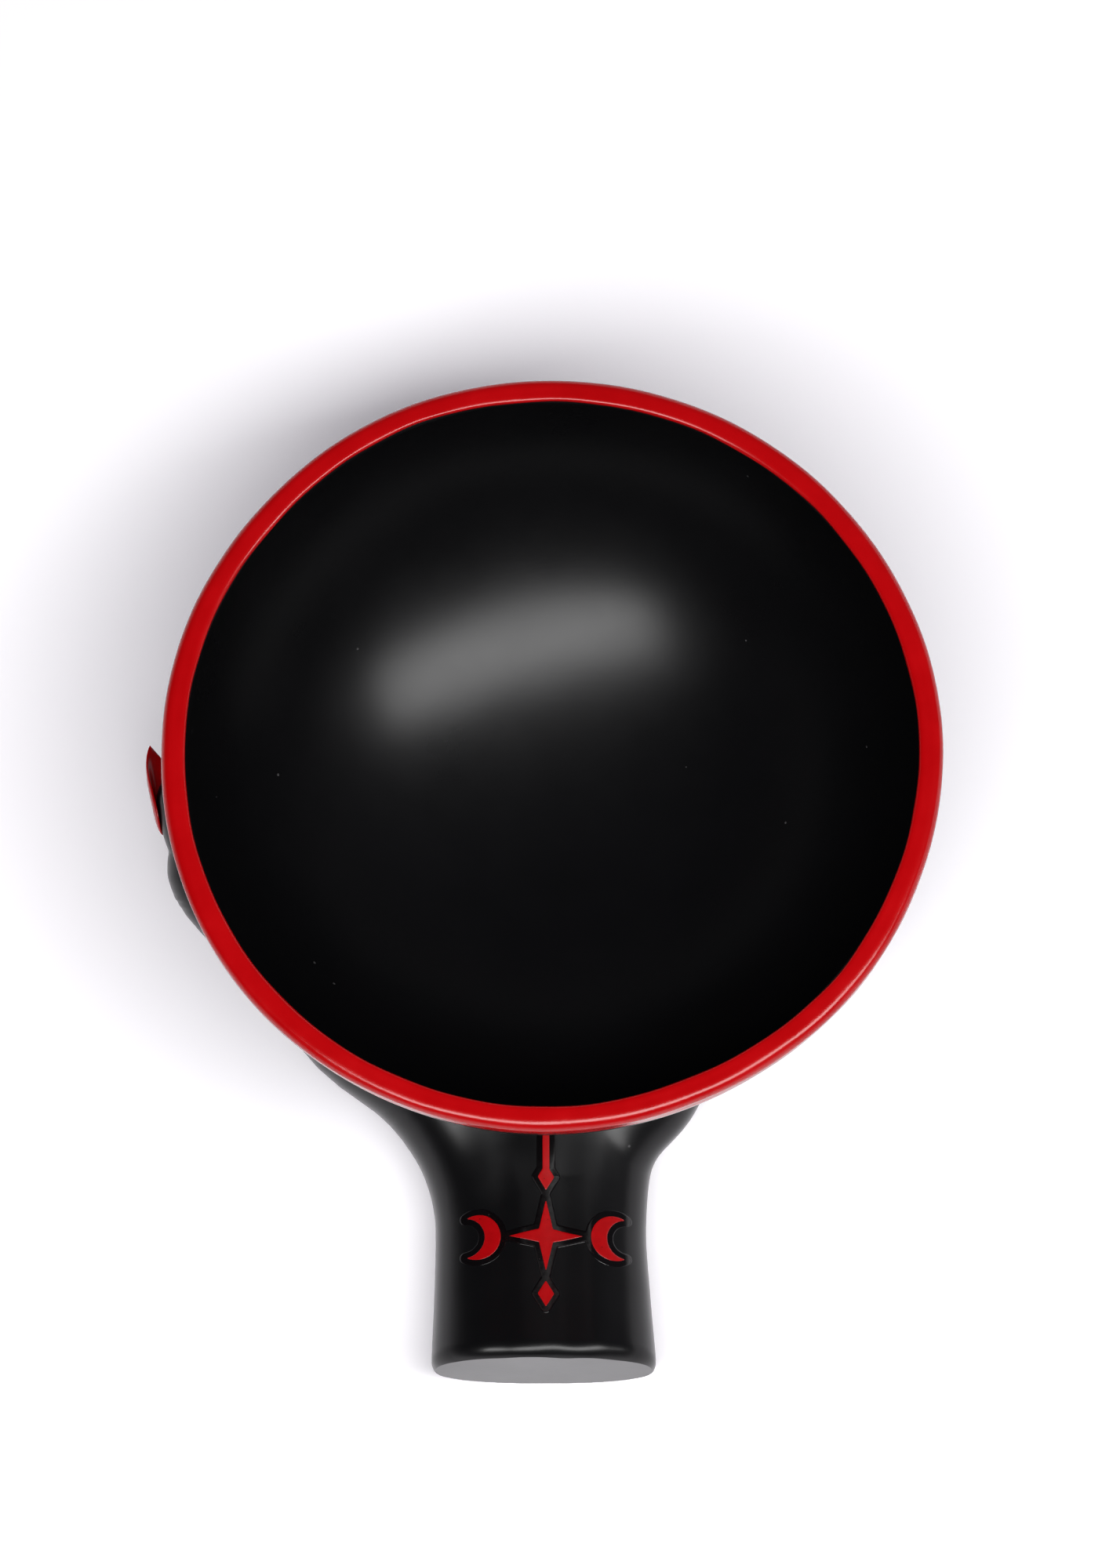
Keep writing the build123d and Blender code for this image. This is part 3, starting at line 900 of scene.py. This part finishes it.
def nail_piece(name, seed):
    """One nail as a closed plate, thin at its edge, on a digit's tip."""
    places, radii = digit_points(name)
    tip, tip_radius = places[-1], radii[-1] + glaze_over_tip
    along = unit(places[-1] - places[-2])
    azimuth, climb, _ = digit_joints[name][1][-1]
    outward = on_wall(azimuth, climb, 1) - on_wall(azimuth, climb, 0)
    outward = unit(outward - along * (outward @ along))
    across = np.cross(along, outward)
    half_width = tip_radius * 0.92
    spoke = np.linspace(0, 2 * math.pi, nail_spokes, endpoint=False)
    ahead = np.cos(spoke) > 0
    edge_u = np.where(ahead, nail_ahead, nail_behind) * np.cos(spoke)
    edge_v = half_width * np.sign(np.sin(spoke)) * np.abs(np.sin(spoke)) ** np.where(ahead, 1.9, 0.85)
    ring = np.sin(np.linspace(0, math.pi / 2, nail_rings + 1)[1:])[:, None]
    u, v = ring * edge_u, ring * edge_v
    thick = nail_thickness * np.sqrt(np.clip(1 - ring**8, 0, 1))
    uneven = np.random.default_rng(seed).uniform(0, 2 * math.pi, 2)
    coat = 0.05 * np.sin(0.9 * u + uneven[0]) * np.cos(1.3 * v + uneven[1]) * (1 - ring**4)
    middle_line = 0.12 * np.exp(-((v / 1.2) ** 2)) * np.clip(u / nail_ahead + 0.3, 0, 1)
    bend = -0.9 * np.clip(u / nail_ahead, 0, 1) ** 2 - 0.35 * np.clip(-u / nail_behind, 0, 1) ** 2
    rows = []
    for lift in (thick / 2 + coat + middle_line * (1 - ring**6), -thick / 2):
        radius = tip_radius + lift
        turn = v / tip_radius
        rows.append(
            tip + u[..., None] * along + (radius * np.sin(turn))[..., None] * across
            + (radius * np.cos(turn) + bend)[..., None] * outward
        )
    count = nail_spokes
    centre_lifts = (nail_thickness / 2 + middle_rise, -nail_thickness / 2)
    centres = [tip + outward * (tip_radius + lift) for lift in centre_lifts]
    points = np.concatenate([rows[0].reshape(-1, 3), rows[1][:-1].reshape(-1, 3), centres])
    top_centre, under_centre = len(points) - 2, len(points) - 1
    under = nail_rings * count
    faces = []
    for k in range(count):
        after = (k + 1) % count
        faces.append((top_centre, k, after))
        faces.append((under_centre, under + after, under + k))
        for j in range(nail_rings - 1):
            faces.append((j * count + k, (j + 1) * count + k, (j + 1) * count + after, j * count + after))
        for j in range(nail_rings - 2):
            low, high = under + j * count, under + (j + 1) * count
            faces.append((low + after, high + after, high + k, low + k))
        last, rim = under + (nail_rings - 2) * count, (nail_rings - 1) * count
        faces.append((last + after, rim + after, rim + k, last + k))
    digit = name.split("_")[0]
    piece = smooth_piece(digit + "_nail_coat", points, faces, red_enamel)
    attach(piece, "root")
    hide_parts(digit + "_nail")


for seed, name in enumerate(digit_names):
    nail_piece(name, seed)

# ================================================================ wrist emblem
# A flat red print on the inside of the wrist: a star between two moons, a diamond below it, and another above
# on a stem that runs under the bowl. It lies on a patch of clear film that is glossier than the glaze.
emblem_place = np.array([-1.0, -84.0])
star_long, star_short = 7.6, 2.0
moon_radius, moon_bite_radius, moon_bite_shift, moon_offset = 4.6, 3.9, 2.6, 13.4
diamond_long, diamond_short, diamond_gap = 2.8, 1.7, 1.4
stem_width, stem_length = 1.5, 11.0
film_sizes = (1.2, 0.25, 0.035)  # margin, depth in the glaze and thickness over it
print_sizes = (0.0, 0.20, 0.08)
stem_foot = 1.0  # from the middle of the diamond under it
emblem_grid, layer_stretch = 0.17, 2.0  # layers are carved thicker, then flattened
patch_edge_round, spare_layers = 0.22, 3
emblem_corner, emblem_size = (22, 16), (44, 45)  # from the star's middle, and the whole carving's size
skin_search, skin_halvings = (12.0, 34.0), 16  # the wrist's upper skin lies between these heights


def outline_distance(x, y, corners):
    """Signed distance in the plane to a closed outline."""
    nearest = np.full(x.shape, 1e9)
    inside = np.ones(x.shape)
    for (ax, ay), (bx, by) in zip(corners, np.roll(corners, 1, axis=0)):
        ex, ey, wx, wy = bx - ax, by - ay, x - ax, y - ay
        t = np.clip((wx * ex + wy * ey) / (ex * ex + ey * ey), 0, 1)
        nearest = np.minimum(nearest, (wx - ex * t) ** 2 + (wy - ey * t) ** 2)
        level = np.stack([y >= ay, y < by, ex * wy > ey * wx])
        inside = np.where(level.all(0) | (~level).all(0), -inside, inside)
    return inside * np.sqrt(nearest)


def moon_distance(x, y):
    """Signed distance in the plane to a crescent whose bite comes from +X, its horns' distance included."""
    horn_x = (moon_radius**2 - moon_bite_radius**2 + moon_bite_shift**2) / (2 * moon_bite_shift)
    horn_y = math.sqrt(moon_radius**2 - horn_x**2)
    y = np.abs(y)
    past_horn = moon_bite_shift * (x * horn_y - y * horn_x) > moon_bite_shift**2 * np.maximum(horn_y - y, 0)
    body = np.maximum(np.hypot(x, y) - moon_radius, moon_bite_radius - np.hypot(x - moon_bite_shift, y))
    return np.where(past_horn, np.hypot(x - horn_x, y - horn_y), body)


def emblem_distance(x, y):
    """Signed distance in the plane to the printed outline."""
    x, y = x - emblem_place[0], y - emblem_place[1]
    reach = np.where(np.arange(8) % 2, star_short, star_long)
    turn = np.radians(45 * np.arange(8))
    printed = outline_distance(x, y, np.stack([reach * np.cos(turn), reach * np.sin(turn)], 1))
    drop = star_long + diamond_gap + diamond_long
    for side in (-1, 1):
        corners = np.array([(-diamond_short, 0), (0, -diamond_long), (diamond_short, 0), (0, diamond_long)])
        diamond = outline_distance(x, y - side * drop, corners)
        printed = np.minimum(printed, np.minimum(moon_distance(side * x - moon_offset, y), diamond))
    foot, head = drop + stem_foot, drop + stem_length
    stem = np.array([(-0.5, foot), (0.5, foot), (0.5, head), (-0.5, head)]) * (stem_width, 1)
    return np.minimum(printed, outline_distance(x, y, stem))


def skin_height(x, y):
    """The height of the wrist's upper skin over points in the plane."""
    low, high = (np.full(len(x), height, np.float32) for height in skin_search)
    for _ in range(skin_halvings):
        middle = (low + high) / 2
        outside = hand_distance(np.stack([x, y, middle], 1).astype(np.float32)) > 0
        high, low = np.where(outside, middle, high), np.where(outside, low, middle)
    return (low + high) / 2


def skin_patch(name, margin, depth, thickness, material):
    """A closed patch on the wrist's skin, the emblem's outline grown by a margin, with a soft edge."""
    low = emblem_place - emblem_corner
    counts = (np.array(emblem_size) / emblem_grid).astype(int)
    layers = int((depth + thickness) * layer_stretch / emblem_grid) + 2 * spare_layers + 1
    bottom = -depth * layer_stretch - spare_layers * emblem_grid
    x, y = np.meshgrid(*(low[a] + emblem_grid * np.arange(counts[a]) for a in (0, 1)), indexing="ij")
    flat = emblem_distance(x, y) - margin
    lift = bottom + emblem_grid * np.arange(layers)
    half = (depth + thickness) * layer_stretch / 2
    layer = np.abs(lift - (thickness - depth) * layer_stretch / 2) - half
    across, along = flat[..., None] + patch_edge_round, layer[None, None, :] + patch_edge_round
    outside = np.hypot(np.maximum(across, 0), np.maximum(along, 0))
    field = np.minimum(np.maximum(across, along), 0) + outside - patch_edge_round
    grid = openvdb.FloatGrid(1.0)
    grid.copyFromArray(np.clip(field, -1, 1).astype(np.float32))
    points, quads = grid.convertToQuads(isovalue=0.0)
    x, y = (low[a] + emblem_grid * points[:, a] for a in (0, 1))
    skin = np.stack([x, y, skin_height(x, y)], 1).astype(np.float32)
    slope = field_slope(skin)
    slope /= np.linalg.norm(slope, axis=1)[:, None]
    raised = (bottom + emblem_grid * points[:, 2]) / layer_stretch
    points = skin + slope * raised[:, None]
    piece = smooth_piece(name, points, quads[:, ::-1].tolist(), material)
    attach(piece, "root")
    return piece


def print_material():
    """Red transfer print: satin, a little uneven, with a few dark pinholes."""
    return coat_material(
        "red_transfer_print", ((0.24, 0.0004, 0.0012, 1), (0.40, 0.0010, 0.0030, 1)),
        clouds={"Scale": 700.0, "Detail": 4.0, "Roughness": 0.65},
        specks={"Scale": 1500.0, "Size": 0.16, "Share": 0.08}, speck_colour=(0.03, 0.001, 0.001, 1),
        sheen=(0.28,), specular=0.3, bump={"Strength": 0.3, "Distance": 0.00005},
    )


def film_material():
    """The carrier film over black glaze, seen only as a glossier black halo with faint ripples."""
    return coat_material(
        "clear_carrier_film", ((0.0022, 0.0016, 0.0019, 1),), clouds={},
        specks={"Scale": 900.0, "Size": 0.12, "Share": 0.04}, speck_colour=(0.018, 0.014, 0.015, 1),
        sheen=(0.12,), specular=0.4, bump={"Strength": 0.5, "Distance": 0.0001},
        ripple={"Sag": 0.6, "Peel": 0.3, "Peel scale": 800.0},
    )


film_patch = skin_patch("emblem_clear_patch", *film_sizes, film_material())
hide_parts("emblem_film")
print_patch = skin_patch("emblem_red_patch", *print_sizes, print_material())
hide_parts("emblem_print")
